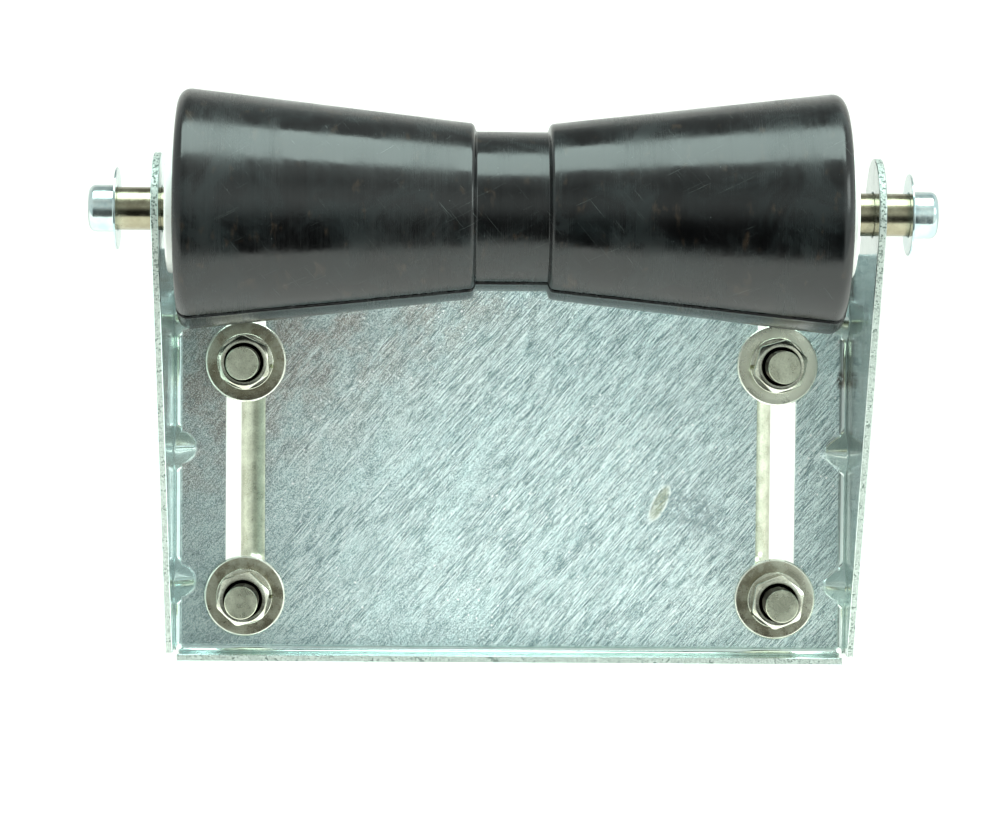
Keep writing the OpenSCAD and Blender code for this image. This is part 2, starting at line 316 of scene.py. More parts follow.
def zinc_sheet():
    """Bright zinc plate over sheet dressed with a grinder: diagonal brushed streaks in patches,
    burnished smooth by the press tool along the bends and darts."""
    m = Nodes("zinc_sheet")
    across, up = m.axis("X"), m.axis("Z")
    side = m.math("ABSOLUTE", across, 0.0)
    burnished = m.remap(side, FLAT_HALF - 0.6, FLAT_HALF + 0.8)
    burnished = m.math("MAXIMUM", burnished, m.remap(up, FLAT_LOW + 0.8, FLAT_LOW - 0.5))
    darts = [m.spot((s * (FLAT_HALF + 1.5), -SHEET_T, z), (7.2, 9, 6.4), soft=0.12)
             for s in (-1, 1) for z in DART_Z]
    for dart in darts:
        burnished = m.math("MAXIMUM", burnished, dart)
    dull = m.math("SUBTRACT", 1.0, burnished)
    # patterns that follow the lay of the brushing, then two plain ones
    lay = (0, -50, 0)
    streaks = m.noise((17, 1.25, 1.25), 3, 0.60, lay, 1.2)
    ridges = m.noise((9, 1.0, 1.0), 2, 0.6, (0, -47, 0), 1.8)
    fine = m.noise((9.5, 0.46, 0.46), 3, 0.68, (0, -48, 0), 0.7)
    hatch = m.noise((3.2, 0.30, 0.30), 3, 0.75, (0, -53, 0), 0.4)
    bundles = m.noise((48, 12, 12), 2, 0.5, lay, 0.6)
    mottle = m.noise((14, 8, 8), 5, 0.68, lay, 0.5)
    cloud = m.noise(34, 3, 0.55)
    grain = m.noise(0.36, 3, 0.8)
    # the brushing grows raggedly from the left, where it is nearly bare, to the middle
    bare, full = -105, 0
    swept = m.math("ADD", across, m.times(m.math("SUBTRACT", bundles, 0.5), 360))
    brushed = m.times(m.remap(swept, bare, full, 0.12, 1.0), dull)
    relief = m.times(streaks, brushed)
    # ground colour: mottled, paler to the right as painted light, browner at the top left
    tone = m.mix(m.remap(mottle, 0.36, 0.64), (0.37, 0.52, 0.54), (0.57, 0.77, 0.78))
    tone = m.mix(m.remap(across, 10, 110, 0, 0.35), tone, (0.86, 1.0, 1.0))
    warm = m.remap(m.math("SUBTRACT", across, m.times(up, 1.6)), -165, -45, 1, 0)
    warm = m.times(warm, m.remap(m.noise(11, 4, 0.65), 0.36, 0.60, 0.30, 1.0))
    tone = m.mix(m.times(warm, dull), tone, (0.36, 0.25, 0.20))
    # streaks, and dark cracks between them
    dark = m.times(m.remap(streaks, 0.50, 0.38), brushed)
    light = m.times(m.remap(streaks, 0.50, 0.64), brushed)
    tone = m.mix(m.times(dark, 0.60), tone, (0.22, 0.32, 0.35))
    tone = m.mix(m.times(light, 0.85), tone, (0.88, 1.0, 1.0))
    crack = m.math("ABSOLUTE", m.math("SUBTRACT", ridges, 0.47), 0.0)
    crack = m.remap(crack, 0.004, 0.022, 1, 0)
    crack = m.times(m.times(crack, m.remap(bundles, 0.38, 0.50)), brushed)
    tone = m.mix(m.times(crack, 0.75), tone, (0.09, 0.15, 0.17))
    # the tooth of the zinc: combed lines and grain
    combed = m.math("ADD", m.times(fine, 0.6), m.times(hatch, 0.4))
    combed = m.math("SUBTRACT", combed, 0.5)
    combed = m.times(combed, m.remap(swept, bare, full, 0.30, 0.68))
    tooth = m.math("SUBTRACT", grain, 0.5)
    tooth = m.times(tooth, m.remap(swept, bare, full, 0.74, 0.62))
    tooth = m.times(m.math("ADD", tooth, combed), dull)
    tone = m.mix(m.remap(tooth, 0.0, 0.058, 0.0, 0.95), tone, (0.94, 1.0, 1.0))
    tone = m.mix(m.remap(tooth, 0.0, -0.058, 0.0, 0.9), tone, (0.11, 0.165, 0.18))
    specks = m.times(m.remap(m.cells(3.6), 0.09, 0.14, 1, 0), dull)
    tone = m.mix(m.times(specks, m.remap(cloud, 0.48, 0.56)), tone, (1.0, 1.0, 1.0))
    # painted light and shade: gloom at the left, pressed parts darker up the right side
    gloom = m.times(m.remap(across, -135, -15, 0.50, 0.0), dull)
    tone = m.mix(gloom, tone, (0.06, 0.06, 0.055))
    pressed = m.mix(m.remap(up, 40, -60), (0.38, 0.40, 0.38), (0.72, 0.80, 0.75))
    pressed = m.mix(m.remap(across, -120, 120), (0.74, 0.86, 0.84), pressed)
    tone = m.mix(m.times(burnished, m.remap(grain, 0.3, 0.7, 1.0, 0.7)), tone, pressed)
    # a gouge with a broken bright rim in a smear, and a rubbed brown nick on the right bend
    smear = m.spot(SMEAR, (13, 1.7, 8), (0, 30, 0), 0.6)
    smear = m.times(smear, m.remap(m.noise(3.0, 5, 0.75, wavy=0.6), 0.42, 0.56))
    tone = m.mix(m.times(smear, 0.60), tone, (0.20, 0.26, 0.28))
    rim = m.spot(GOUGE, (8.0, 2, 2.9), (0, -64, 0), 0.12)
    gouge = m.spot(GOUGE, (7.0, 2, 2.1), (0, -64, 0), 0.2)
    broken = m.remap(m.noise(2.2, 3, 0.7), 0.38, 0.52)
    tone = m.mix(m.times(rim, broken), tone, (0.95, 1.0, 0.97))
    filled = m.times(gouge, m.remap(tooth, -0.03, 0.03, 0.25, 1.0))
    tone = m.mix(filled, tone, (0.33, 0.37, 0.27))
    nick = m.spot(NICK, (1.6, 5, 3.6), (0, 0, 0), 0.4)
    nick = m.times(nick, m.remap(m.noise(1.6, 3, 0.7), 0.38, 0.5))
    tone = m.mix(m.times(nick, 0.85), tone, (0.10, 0.08, 0.06))
    rough = m.remap(mottle, 0.3, 0.7, 0.34, 0.48)
    rough = m.math("SUBTRACT", rough, m.times(burnished, 0.27))
    m.bump((cloud, 0.4), (m.times(mottle, dull), 0.15), (relief, 0.6), (gouge, 0.5),
           (tooth, 0.30))
    return m.finish(tone, rough, m.remap(burnished, 0, 1, 0.62, 0.95))


def cut_edge():
    """Sheared sheet edge under zinc: coarse bright grains beside dark ones."""
    m = Nodes("cut_edge")
    value = m.node("ShaderNodeSeparateColor")
    m.plug(m.cells(0.62, "Color"), value.inputs[0])
    drag = m.noise((0.5, 2.2, 0.5), 3, 0.7)
    lower = m.remap(m.axis("Z"), 40, 105, 1.0, 0.0)
    tone = m.mix(m.remap(value.outputs[0], 0.10, 0.55), (0.14, 0.18, 0.16), (0.55, 0.61, 0.57))
    plain = m.mix(m.remap(drag, 0.40, 0.62), (0.32, 0.37, 0.34), (0.58, 0.64, 0.60))
    tone = m.mix(m.times(m.remap(m.noise(3.5, 3, 0.6), 0.38, 0.56), lower), tone, plain)
    m.bump((value.outputs[1], 0.2), (drag, 0.25), (m.noise(0.5, 3, 0.7), 0.14))
    return m.finish(tone, m.remap(value.outputs[2], 0, 1, 0.3, 0.6), 0.6)


def black_rubber():
    """Moulded black rubber: fine lines round it, hand smudges, scratches and dust specks."""
    m = Nodes("black_rubber", Specular_IOR_Level=0.5)
    turned = m.noise((0.35, 40, 40), 3, 0.75)
    bands = m.noise((3.2, 60, 60), 2, 0.6)
    smudge = m.noise(24, 5, 0.62, wavy=0.8)
    blot = m.noise((26, 60, 60), 3, 0.6, wavy=0.4)
    scratch = m.noise((0.16, 30, 30), 1, 0.5, (0, 62, 25), 1.0)
    graze = m.noise((0.2, 24, 24), 1, 0.5, (10, -40, 0), 1.4)
    dust = m.times(m.remap(m.cells(2.1), 0.0, 0.075, 1.0, 0.0),
                   m.remap(m.noise(5, 2, 0.5), 0.55, 0.68))
    worn = m.math("MAXIMUM", m.remap(scratch, 0.72, 0.78), m.remap(graze, 0.72, 0.77))
    worn = m.times(worn, m.remap(m.noise(16, 2, 0.5), 0.48, 0.60))
    tone = m.mix(m.remap(smudge, 0.42, 0.72), (0.0016, 0.0016, 0.0018), (0.008, 0.011, 0.0115))
    rusty = m.remap(m.noise((5, 9, 9), 3, 0.6), 0.60, 0.72, 0, 0.6)
    tone = m.mix(rusty, tone, (0.030, 0.020, 0.013))
    tone = m.mix(m.times(worn, 0.45), tone, (0.16, 0.18, 0.17))
    tone = m.mix(m.times(dust, 0.7), tone, (0.40, 0.46, 0.46))
    rough = m.remap(smudge, 0.35, 0.7, 0.15, 0.27)
    rough = m.math("ADD", rough, m.remap(blot, 0.35, 0.65, -0.03, 0.06))
    rough = m.math("ADD", rough, m.remap(turned, 0.35, 0.7, -0.02, 0.05))
    m.bump((turned, 0.014), (bands, 0.05), (blot, 0.3), (m.noise(7, 3, 0.5), 0.06))
    return m.finish(tone, rough)


def seam_shade_rubber():
    """Torn, dull rubber down in the parting line, kept darker than the rest as painted shade in
    the groove.
    """
    m = Nodes("seam_shade_rubber", Specular_IOR_Level=0.08)
    crumbs = m.noise((1.2, 0.5, 0.5), 3, 0.7)
    tone = m.mix(m.remap(crumbs, 0.45, 0.7), (0.001, 0.001, 0.001), (0.006, 0.006, 0.005))
    m.bump((crumbs, 0.1))
    return m.finish(tone, m.remap(crumbs, 0.3, 0.7, 0.7, 0.95))


def shaft_steel():
    """Drawn and plated bar: lengthwise lines, warm tone."""
    m = Nodes("shaft_steel", Metallic=1.0)
    lines = m.noise((12, 0.5, 0.5), 3, 0.7)
    stain = m.noise(8, 4, 0.6)
    tone = m.mix(m.remap(stain, 0.35, 0.7), (0.25, 0.225, 0.155), (0.35, 0.33, 0.24))
    tone = m.mix(m.remap(lines, 0.55, 0.75, 0, 0.5), tone, (0.17, 0.14, 0.09))
    m.bump((lines, 0.02), (m.noise(5, 3, 0.5), 0.03))
    return m.finish(tone, m.remap(stain, 0.3, 0.7, 0.16, 0.28))


def bright_cap():
    """Pressed cap, bright plated, with faint orange peel."""
    m = Nodes("bright_cap", Metallic=0.9)
    peel = m.noise(1.8, 3, 0.5)
    soft = m.noise(6, 3, 0.55)
    tone = m.mix(m.remap(soft, 0.35, 0.7), (0.40, 0.50, 0.52), (0.56, 0.63, 0.62))
    tone = m.mix(m.remap(m.noise(0.9, 2, 0.6), 0.6, 0.75, 0, 0.3), tone, (0.35, 0.42, 0.42))
    m.bump((peel, 0.03), (soft, 0.05))
    return m.finish(tone, m.remap(soft, 0.3, 0.7, 0.10, 0.20))


def stainless(name, dull, low, high, bore=0.0, rod=False):
    """Cold formed stainless fastener with a warm grey tone. A rod carries painted shade on its
    threads behind the tip, and a nut in its bore; a flat washer has painted highlights at its rim
    and towards the upper right."""
    m = Nodes(name, Metallic=1.0)
    cloud = m.noise(7, 4, 0.6)
    grain = m.noise(0.45, 3, 0.65)
    marks = m.noise((0.9, 3.2, 0.6), 3, 0.7, (25, 0, 35), 0.5)
    out = m.math("SUBTRACT", m.math("ABSOLUTE", m.axis("X"), 0.0), LEG_X)
    rise = m.math("SUBTRACT", m.math("ABSOLUTE", m.axis("Z"), 0.0), LEG_Z)
    radius = m.math("ADD", m.math("POWER", out, 2.0), m.math("POWER", rise, 2.0))
    radius = m.math("SQRT", radius, 0.0)
    tone = m.mix(m.remap(cloud, 0.35, 0.68), low, high)
    tone = m.mix(m.remap(grain, 0.42, 0.72, 0, 0.5), tone, tuple(0.5 * c for c in low))
    tone = m.mix(m.remap(marks, 0.6, 0.74, 0, 0.35), tone, (0.86, 0.88, 0.78))
    if rod:
        # painted shade on the threads for about 15 mm behind the tip, inside the nut
        thread_shade = m.times(m.remap(m.axis("Y"), TIP_Y + 0.35, TIP_Y + 0.6),
                       m.remap(m.axis("Y"), TIP_Y + 14, TIP_Y + 16, 1, 0))
        tone = m.mix(thread_shade, tone, (0.07, 0.065, 0.05))
    elif bore:
        # painted shade in the bore and its countersink
        tone = m.mix(m.remap(radius, bore, bore + 0.2, 1, 0), tone, (0.02, 0.018, 0.012))
    else:
        # painted highlights: towards the upper right, and round the rim
        bright = m.math("ADD", m.axis("X"), m.times(m.axis("Z"), 0.35))
        tone = m.mix(m.remap(bright, 84, 122, 0, 0.85), tone, (0.98, 1.0, 0.84))
        tone = m.mix(m.remap(radius, 14.9, 15.3, 0, 0.8), tone, (0.96, 0.96, 0.86))
    m.bump((grain, 0.014), (marks, 0.025), (cloud, 0.06))
    return m.finish(tone, m.remap(cloud, 0.3, 0.7, dull - 0.05, dull + 0.07))


def white_nylon():
    """Milky white moulded nylon."""
    m = Nodes("white_nylon", Specular_IOR_Level=0.5)
    cloud = m.noise(6, 3, 0.55)
    tone = m.mix(m.remap(cloud, 0.3, 0.7), (0.95, 0.96, 0.91), (0.98, 0.98, 0.95))
    tone = m.mix(m.remap(m.noise(1.4, 2, 0.5), 0.62, 0.75, 0, 0.35), tone, (0.74, 0.74, 0.68))
    m.bump((m.noise((0.5, 16, 16), 2, 0.5), 0.02), (cloud, 0.05))
    return m.finish(tone, m.remap(cloud, 0.3, 0.7, 0.34, 0.48))


ZINC = zinc_sheet()
CUT_EDGE = cut_edge()
RUBBER = black_rubber()
SHAFT_STEEL = shaft_steel()
SEAM = seam_shade_rubber()
CAP_STEEL = bright_cap()
WASHER_STEEL = stainless("washer_steel", 0.27, (0.28, 0.255, 0.18), (0.50, 0.50, 0.40))
NUT_STEEL = stainless("nut_steel", 0.15, (0.54, 0.53, 0.43), (0.76, 0.77, 0.65), bore=ROD_R + 1.1)
ROD_STEEL = stainless("rod_steel", 0.30, (0.54, 0.55, 0.43), (0.74, 0.76, 0.61), rod=True)
NYLON = white_nylon()


# ---------------------------------------------------------------- bracket
def ear_s(forward):
    """Place across the flat blank of a point on an ear, from its distance forward."""
    return EAR_S + forward - BEND_R


def smooth_max(a, b, width):
    """The larger of two values, rounded over where they cross."""
    h = np.clip(0.5 + 0.5 * (a - b) / width, 0, 1)
    return b + (a - b) * h + width * h * (1 - h)


def bend_blank(s, q, depth):
    """Folds points of the flat blank into the bracket. s runs across the blank, q up it, and
    depth into the sheet from the bracket's inner and front face."""
    r = BEND_R + depth
    side, reach = np.where(s < 0, -1.0, 1.0), np.abs(s)
    fold = np.clip((reach - FLAT_HALF) / ARC_LEN, 0, 1) * math.pi / 2
    x = np.minimum(reach, FLAT_HALF) + r * np.sin(fold)
    forward = BEND_R - r * np.cos(fold) + np.maximum(0, reach - EAR_S)
    # pressed darts: the corner is pushed in along each ridge. share is 1 at a dart's ends,
    # and belly bows its flanks
    across, out = (EAR_X - x) - forward, (EAR_X - x) + forward
    for z in DART_Z:
        share = np.sqrt(((q - z) / DART_HALF) ** 2 + 0.01)
        belly = np.where((side > 0) & (q > z), -0.30, 0.16)
        ridge = DART_LEG * (1.09 - (1 - belly) * share - belly * share ** 2) - 1.5 * depth
        wider = smooth_max(out, ridge, 1.25 + 0.3 * depth)
        near = np.clip((DART_LEG + 5 - np.abs(across)) / 3, 0, 1) * (np.abs(q - z) < DART_HALF + 4)
        out = out + (wider - out) * near
    x, forward = EAR_X - (out + across) / 2, (out - across) / 2
    # bottom lip
    lip = (q < FLAT_LOW) & ((reach <= LIP_S + 1e-6) | (q < EAR_BOTTOM - 1.2))
    dip = np.clip((FLAT_LOW - q) / ARC_LEN, 0, 1) * math.pi / 2
    lip_z = FLAT_LOW - r * np.sin(dip)
    lip_forward = BEND_R - r * np.cos(dip) + np.maximum(0, FLAT_LOW - ARC_LEN - q)
    z = np.where(lip, lip_z, q)
    x = np.where(lip, reach, x)
    forward = np.where(lip, lip_forward, forward)
    return np.stack([side * x, -SHEET_T - forward, z], -1)


def arc(centre, radius, start, end, step=1.2):
    """Points along an arc, about step apart."""
    count = max(3, math.ceil(abs(end - start) * radius / step))
    angles = np.linspace(start, end, count + 1)
    return [np.array(centre) + radius * np.array([math.cos(a), math.sin(a)]) for a in angles]


def blank_loops(step):
    """Outline, slots and shaft holes of the flat blank, each with the sheet on its left."""
    reach = -AXIS_Y - SHEET_T
    lug = np.array([ear_s(reach), AXIS_Z])
    rise = np.array([ear_s(SHOULDER - SHEET_T), PLATE_TOP])
    to_lug = lug - rise
    back = math.atan2(to_lug[1], to_lug[0]) + math.asin(LUG_R / np.linalg.norm(to_lug))
    front = lug + LUG_R * np.array([math.cos(EAR_LEAN), -math.sin(EAR_LEAN)])
    toe_s = front[0] - (front[1] - EAR_BOTTOM) * math.tan(EAR_LEAN)
    relief = np.array([FLAT_HALF + 1.45, EAR_BOTTOM + 0.6])   # centre of the notch by the lip
    lip_end = FLAT_LOW - ARC_LEN - (LIP_REACH - BEND_R)
    into_lip = math.acos((LIP_S - relief[0]) / RELIEF_R)
    into_ear = math.asin((EAR_BOTTOM - relief[1]) / RELIEF_R)
    half = [np.array([0, lip_end]), np.array([LIP_S, lip_end])]
    half += arc(relief, RELIEF_R, TAU - into_lip, into_ear, 0.5)
    half += [np.array([toe_s, EAR_BOTTOM])]
    half += arc(lug, LUG_R, -EAR_LEAN, back + math.pi / 2)
    half += [rise, np.array([0, PLATE_TOP])]
    half = np.array(half)
    mirrored = (half * [-1, 1])[::-1][1:-1]
    loops = [subdivide(np.concatenate([half, mirrored]), step)]
    slot_half = (SLOT_TOP - SLOT_BOTTOM - SLOT_W) / 2
    slot_mid = (SLOT_TOP + SLOT_BOTTOM) / 2
    for side in SIDES.values():
        leg_x = side * LEG_X
        ends = arc((leg_x, slot_mid + slot_half), SLOT_W / 2, math.pi, 0)
        ends += arc((leg_x, slot_mid - slot_half), SLOT_W / 2, 0, -math.pi)
        loops.append(subdivide(np.array(ends), step))
        loops.append(np.array(arc((side * lug[0], lug[1]), SHAFT_HOLE_R, TAU, 0, 0.8)[:-1]))
    return loops


def inward_normals(loop):
    """Directions into the sheet at a loop's points, longer where the loop turns."""
    before, after = np.roll(loop, 1, 0), np.roll(loop, -1, 0)
    a, b = loop - before, after - loop
    a /= np.linalg.norm(a, axis=1)[:, None]
    b /= np.linalg.norm(b, axis=1)[:, None]
    tangent = a + b
    tangent /= np.linalg.norm(tangent, axis=1)[:, None]
    miter = 1 / np.maximum(0.5, np.sum(tangent * a, axis=1))
    return np.stack([-tangent[:, 1], tangent[:, 0]], -1) * miter[:, None]


def inside_and_clear(points, loops):
    """Even-odd test against the loops, and each point's distance to the nearest edge."""
    inside = np.zeros(len(points), bool)
    nearest = np.full(len(points), 1e9)
    for loop in loops:
        for p, q in zip(loop, np.roll(loop, -1, 0)):
            crosses = (p[1] > points[:, 1]) != (q[1] > points[:, 1])
            if abs(q[1] - p[1]) > 1e-12:
                at = p[0] + (points[:, 1] - p[1]) * (q[0] - p[0]) / (q[1] - p[1])
                inside ^= crosses & (points[:, 0] < at)
            edge = q - p
            t = np.clip(((points - p) @ edge) / (edge @ edge), 0, 1)
            nearest = np.minimum(nearest, np.linalg.norm(points - p - t[:, None] * edge, axis=1))
    return inside, nearest


def graded(stops):
    """Coordinates along one direction: stops are (position, spacing up to the next stop)."""
    out = []
    for (p, step), (q, _) in zip(stops, stops[1:]):
        count = max(1, round((q - p) / step))
        out += [p + (q - p) * k / count for k in range(count)]
    return np.array(out + [stops[-1][0]])


def blank_grid():
    """Points inside the blank: close together at the bends and darts, wide apart on the flats."""
    dart_in, dart_out = FLAT_HALF - DART_LEG - 3, EAR_S + DART_LEG + 3
    half = graded([(0, 7), (dart_in, 0.75), (FLAT_HALF, 0.5), (EAR_S, 0.75),
                   (dart_out, 5), (EAR_S + 110, 5)])
    across = np.concatenate([-half[:0:-1], half])
    stops = [(-90, 3), (FLAT_LOW - ARC_LEN - 1, 0.6), (FLAT_LOW + 1, 4)]
    for z in DART_Z:
        stops += [(z - DART_HALF - 2, 0.75), (z + DART_HALF + 2, 6)]
    up = graded(stops + [(AXIS_Z + LUG_R, 6)])
    return np.stack(np.meshgrid(across, up), -1).reshape(-1, 2)


def make_bracket():
    """The pressed sheet: its flat blank is meshed first, then folded, front and back."""
    edge_rings = [(0.0, 0.30), (0.10, 0.10), (0.30, 0.0), (0.75, 0.0)]   # (inset, drop)
    loops = blank_loops(step=1.4)
    # each ring of points inside the outline, and how far the sheet's rounded edge drops there
    points, drops, edges, starts = [], [], [], []
    for loop in loops:
        normals = inward_normals(loop)
        starts.append(sum(map(len, points)))
        for inset, drop in edge_rings:
            first = sum(map(len, points))
            points.append(loop + normals * inset)
            drops.append(np.full(len(loop), drop))
            edges += [(first + i, first + (i + 1) % len(loop)) for i in range(len(loop))]
    grid = blank_grid()
    inside, clear = inside_and_clear(grid, loops)
    grid = grid[inside & (clear > 1.1)]
    points.append(grid)
    drops.append(np.zeros(len(grid)))
    points, drops = np.concatenate(points), np.concatenate(drops)
    made = delaunay_2d_cdt([Vector(p) for p in points], edges, [], 0, 1e-6)
    flat, triangles, origins = np.array([v[:] for v in made[0]]), np.array(made[2]), made[3]
    keep, _ = inside_and_clear(flat[triangles].mean(1), loops)
    triangles = triangles[keep]
    drop = np.array([drops[o[0]] if o else 0.0 for o in origins])
    index = np.zeros(len(points), int)
    for new, old in enumerate(origins):
        index[old] = new
    s, q = flat[:, 0], flat[:, 1]
    front, back = bend_blank(s, q, drop), bend_blank(s, q, SHEET_T - drop)
    count = len(flat)
    verts = [front, back]
    faces = triangles.tolist() + (triangles[:, ::-1] + count).tolist()
    sheet_faces = len(faces)
    # the cut edge: a smooth sheared part, then a rough broken part
    total = 2 * count
    for loop, start in zip(loops, starts):
        normals = inward_normals(loop)
        ring = index[start:start + len(loop)]
        rows = [ring]
        for depth, ragged in ((0.9, 0.02), (1.5, 0.07), (2.1, 0.09)):
            rag = np.array([noise.noise(Vector((p[0] * 1.3, p[1] * 1.3, depth * 3)))
                            for p in loop])
            moved = loop + normals * (np.abs(rag) * 2.2 * ragged)[:, None]
            verts.append(bend_blank(moved[:, 0], moved[:, 1], np.full(len(loop), depth)))
            rows.append(np.arange(total, total + len(loop)))
            total += len(loop)
        rows.append(ring + count)
        for upper, lower in zip(rows, rows[1:]):
            nxt_u, nxt_l = np.roll(upper, -1), np.roll(lower, -1)
            faces += np.stack([upper, lower, nxt_l, nxt_u], -1).tolist()
    face_slots = [0] * sheet_faces + [1] * (len(faces) - sheet_faces)
    add_mesh("pressed_bracket", np.concatenate(verts), faces, "bracket",
             ["bracket"], [ZINC, CUT_EDGE], 42.0, face_slots)


# ---------------------------------------------------------------- roller
def thrust_edge():
    """Radius of the shallow seat moulded in the roller's end for the nylon washer."""
    low, high = mm_box("thrust_washer_left")
    return (high[2] - low[2]) / 2 + 1.5


def roller_profile():
    """Closed section of (along, radius): two cones, a waist, rounded rims and the bore."""
    half = (ROLLER_HIGH[0] - ROLLER_LOW[0]) / 2
    rim = (ROLLER_HIGH[2] - ROLLER_LOW[2]) / 2 - 0.02
    neck = np.array([WAIST_HALF + 1.1, CONE_END_R])
    centre = np.array([half - RIM_R, rim - RIM_R])
    to_rim = centre - neck
    slope = math.atan2(to_rim[1], to_rim[0]) + math.asin(RIM_R / np.linalg.norm(to_rim))
    corner_r = neck[1] + (half - neck[0]) * math.tan(slope)
    bore, seat = SHAFT_R + BORE_FIT, thrust_edge()
    side = [(WAIST_HALF, WAIST_R, 0.5), (neck[0], neck[1], 1.8), (half, corner_r, RIM_R),
            (half, seat, 0.5), (half - 0.6, seat - 1.2, 0.6), (half - 0.6, bore, 0.8)]
    mirrored = [(-a, r, f) for a, r, f in side[::-1]]
    return fillet(side + mirrored, True, 7, 1.25)


def make_roller():
    """The rubber, with two mould seams: each is a torn groove beside a low line of flash."""
    groove_half, flash_high, flash_at, flash_half = 0.85, 0.14, 1.25, 0.35
    profile = roller_profile()
    middle = np.array([(ROLLER_LOW[0] + ROLLER_HIGH[0]) / 2, AXIS_Y, AXIS_Z])
    seams = [SEAM_ANGLE, SEAM_ANGLE + math.pi]
    # columns of points: a fine strip along each seam, coarse ones round the rest
    strip, strip_r, spared, around = 1.7, 40, 0.055, 150
    fine = np.linspace(-strip, strip, 23) / strip_r
    coarse = np.arange(around) * TAU / around
    coarse = np.array([a for a in coarse if min(abs(a - s) for s in seams) > spared])
    theta = np.sort(np.concatenate([coarse] + [s + fine for s in seams]))
    along, radius = profile[:, 0][:, None], profile[:, 1][:, None]
    outer = np.clip((radius - 20) / 8, 0, 1)
    radius = radius + np.zeros_like(theta)
    inside = np.zeros(radius.shape, bool)
    for seam in seams:
        jag = np.array([0.35 * noise.noise(Vector((a * 0.55, seam, 0)))
                        + 0.22 * noise.noise(Vector((a * 1.9, seam, 4))) for a in profile[:, 0]])
        bite = np.array([1.6 + 0.6 * noise.noise(Vector((a * 0.8, seam, 9)))
                         for a in profile[:, 0]])
        gap = (theta - seam) * profile[:, 1][:, None] + jag[:, None]
        groove = bite[:, None] * np.exp(-np.abs(gap / groove_half) ** 4)
        flash = flash_high * np.exp(-((gap - flash_at) / flash_half) ** 2)
        radius = radius + outer * (flash - groove)
        inside |= (np.abs(gap) < 0.9) & (outer > 0.5)
    swell = np.array([[noise.noise(Vector((a * 0.035, math.cos(t) * 1.5, math.sin(t) * 1.5)))
                       for t in theta] for a in profile[:, 0]])
    radius = radius + outer * 0.07 * swell
    x = along + np.zeros_like(theta)
    verts = np.stack([x, -radius * np.cos(theta), -radius * np.sin(theta)], -1)
    faces = grid_faces(len(profile), len(theta), True, True)
    # faces down in a seam's groove take the seam material, with its painted shade
    in_seam = inside.reshape(-1)[np.array(faces)].all(1).astype(int)
    add_mesh("rubber_roller", verts.reshape(-1, 3) + middle, faces, "roller",
             ["roller"], [RUBBER, SEAM], 50.0, in_seam)


# ---------------------------------------------------------------- shaft parts
def make_shaft():
    """Plain bar, chamfered at both ends."""
    low, high = SHAFT_LOW[0], SHAFT_HIGH[0]
    corners = [(low, SHAFT_R - 1.4, 0), (low, SHAFT_R - 1.0, 0.2), (low + 1.0, SHAFT_R, 0.3),
               (high - 1.0, SHAFT_R, 0.3), (high, SHAFT_R - 1.0, 0.2), (high, SHAFT_R - 1.4, 0)]
    profile = fillet(corners, False, 4, 8.0)
    verts, faces = lathe(profile, (0, AXIS_Y, AXIS_Z), "x", 96, closed=False)
    add_mesh("shaft_bar", verts, faces, "shaft", ["shaft"], [SHAFT_STEEL])


def make_cap(side_name):
    """Cup with a rounded crown, a thin flange round its mouth and a plain bore."""
    node = "push_cap_" + side_name
    side = SIDES[side_name]
    low, high = mm_box(node)
    flange_r = (high[2] - low[2]) / 2
    height = high[0] - low[0]
    tip = high[0] if side > 0 else low[0]
    cup_r, bore = SHAFT_R + 0.79, SHAFT_R + 0.02
    corners = [(0, 0.6, 0), (0, cup_r - 0.1, 2.5), (height - CAP_WALL - 0.2, cup_r, 0.9),
               (height - CAP_WALL - 0.1, flange_r, 0.28), (height, flange_r, 0.28),
               (height - 0.15, SHAFT_R + 0.6, 0.4), (height - 2.2, bore, 0.4),
               (CAP_WALL, bore, 0.5), (CAP_WALL, 0.6, 0)]
    profile = fillet(corners, False, 7)
    profile[:, 0] = tip - side * profile[:, 0]
    verts, faces = lathe(profile, (0, AXIS_Y, AXIS_Z), "x", 96, closed=False)
    if side > 0:
        faces = [f[::-1] for f in faces]
    add_mesh(side_name + "_push_cap", verts, faces, "shaft", [node], [CAP_STEEL])


def make_thrust_washer(side_name):
    """Nylon washer with rounded edges."""
    node = "thrust_washer_" + side_name
    low, high = mm_box(node)
    radius, bore = (high[2] - low[2]) / 2, SHAFT_R + 0.1
    corners = [(low[0], bore, 0.4), (low[0], radius, 0.9),
               (high[0], radius, 0.9), (high[0], bore, 0.4)]
    verts, faces = lathe(fillet(corners, True, 6, 4.0), (0, AXIS_Y, AXIS_Z), "x", 120)
    add_mesh(side_name + "_nylon_washer", verts, faces, "thrust_washers",
             [node], [NYLON])


# ---------------------------------------------------------------- U-bolts
def rod_path(tip_y, crown_y, leg_z, bend):
    """Centre line of a U-bolt in the Y-Z plane, and the distance along it from one tip."""
    pitch_rows = 9
    threaded = np.arange(0, THREAD_LEN + THREAD_PITCH, THREAD_PITCH / pitch_rows)
    tip = np.array([0, ROD_CHAMFER / 2, ROD_CHAMFER, 0.7, 1.1])
    leg_end = crown_y - bend
    plain = np.arange(tip_y + threaded[-1] + 3, leg_end, 6)
    leg = np.concatenate([tip_y + tip, tip_y + threaded[threaded > 1.5], plain])
    half = [(y, leg_z) for y in leg]
    turns = np.linspace(0, math.pi / 2, 13)
    half += [(leg_end + bend * math.sin(a), leg_z - bend + bend * math.cos(a)) for a in turns]
    half += [(crown_y, z) for z in np.linspace(leg_z - bend, 0, 6)[1:]]
    half = np.array(half)
    full = np.concatenate([half, (half * [1, -1])[::-1][1:]])
    steps = np.linalg.norm(np.diff(full, axis=0), axis=1)
    run = np.concatenate([[0], np.cumsum(steps)])
    return full, run


